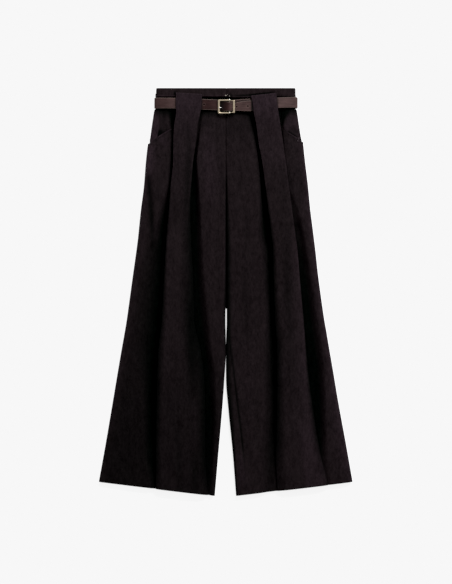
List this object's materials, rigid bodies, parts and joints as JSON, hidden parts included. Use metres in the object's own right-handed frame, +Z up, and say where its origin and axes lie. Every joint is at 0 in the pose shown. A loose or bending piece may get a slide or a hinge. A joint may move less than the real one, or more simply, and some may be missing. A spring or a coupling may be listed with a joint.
{
  "type": "palazzo trousers laid flat with their belt",
  "caption": "Wide-leg pleated trousers laid flat, with deep front pleats that carry a narrow leather belt with a square buckle.",
  "frame": {"origin": "middle of the outline, on the surface that the trousers lie on", "axes": "+Z up from the surface, +Y from hem to waist, +X to the right of someone looking down at the front"},
  "size_m": [0.6573, 1.056, 0.0251],
  "materials": {
    "cloth": "matte aubergine-black twill",
    "belt": "dark brown, slightly waxed",
    "buckle": "polished champagne gold",
    "hook": "nickel",
    "prong": "nickel"
  },
  "bodies": {
    "root": {"waistband_front_left": "cloth", "waistband_front_right": "cloth", "waistband_back": "cloth", "front_leg_left": "cloth", "front_leg_right": "cloth", "pleat_panel_left": "cloth", "pleat_panel_right": "cloth", "pocket_facing_left": "cloth", "pocket_facing_right": "cloth", "fly_shield": "cloth", "back_leg_left": "cloth", "back_leg_right": "cloth", "belt_loop_left": "cloth", "belt_loop_centre": "cloth", "belt_loop_right": "cloth", "waist_hook": "hook", "waist_bar": "hook", "belt_strap": "belt", "buckle_frame": "buckle", "buckle_prong": "prong"}
  },
  "joints": []
}
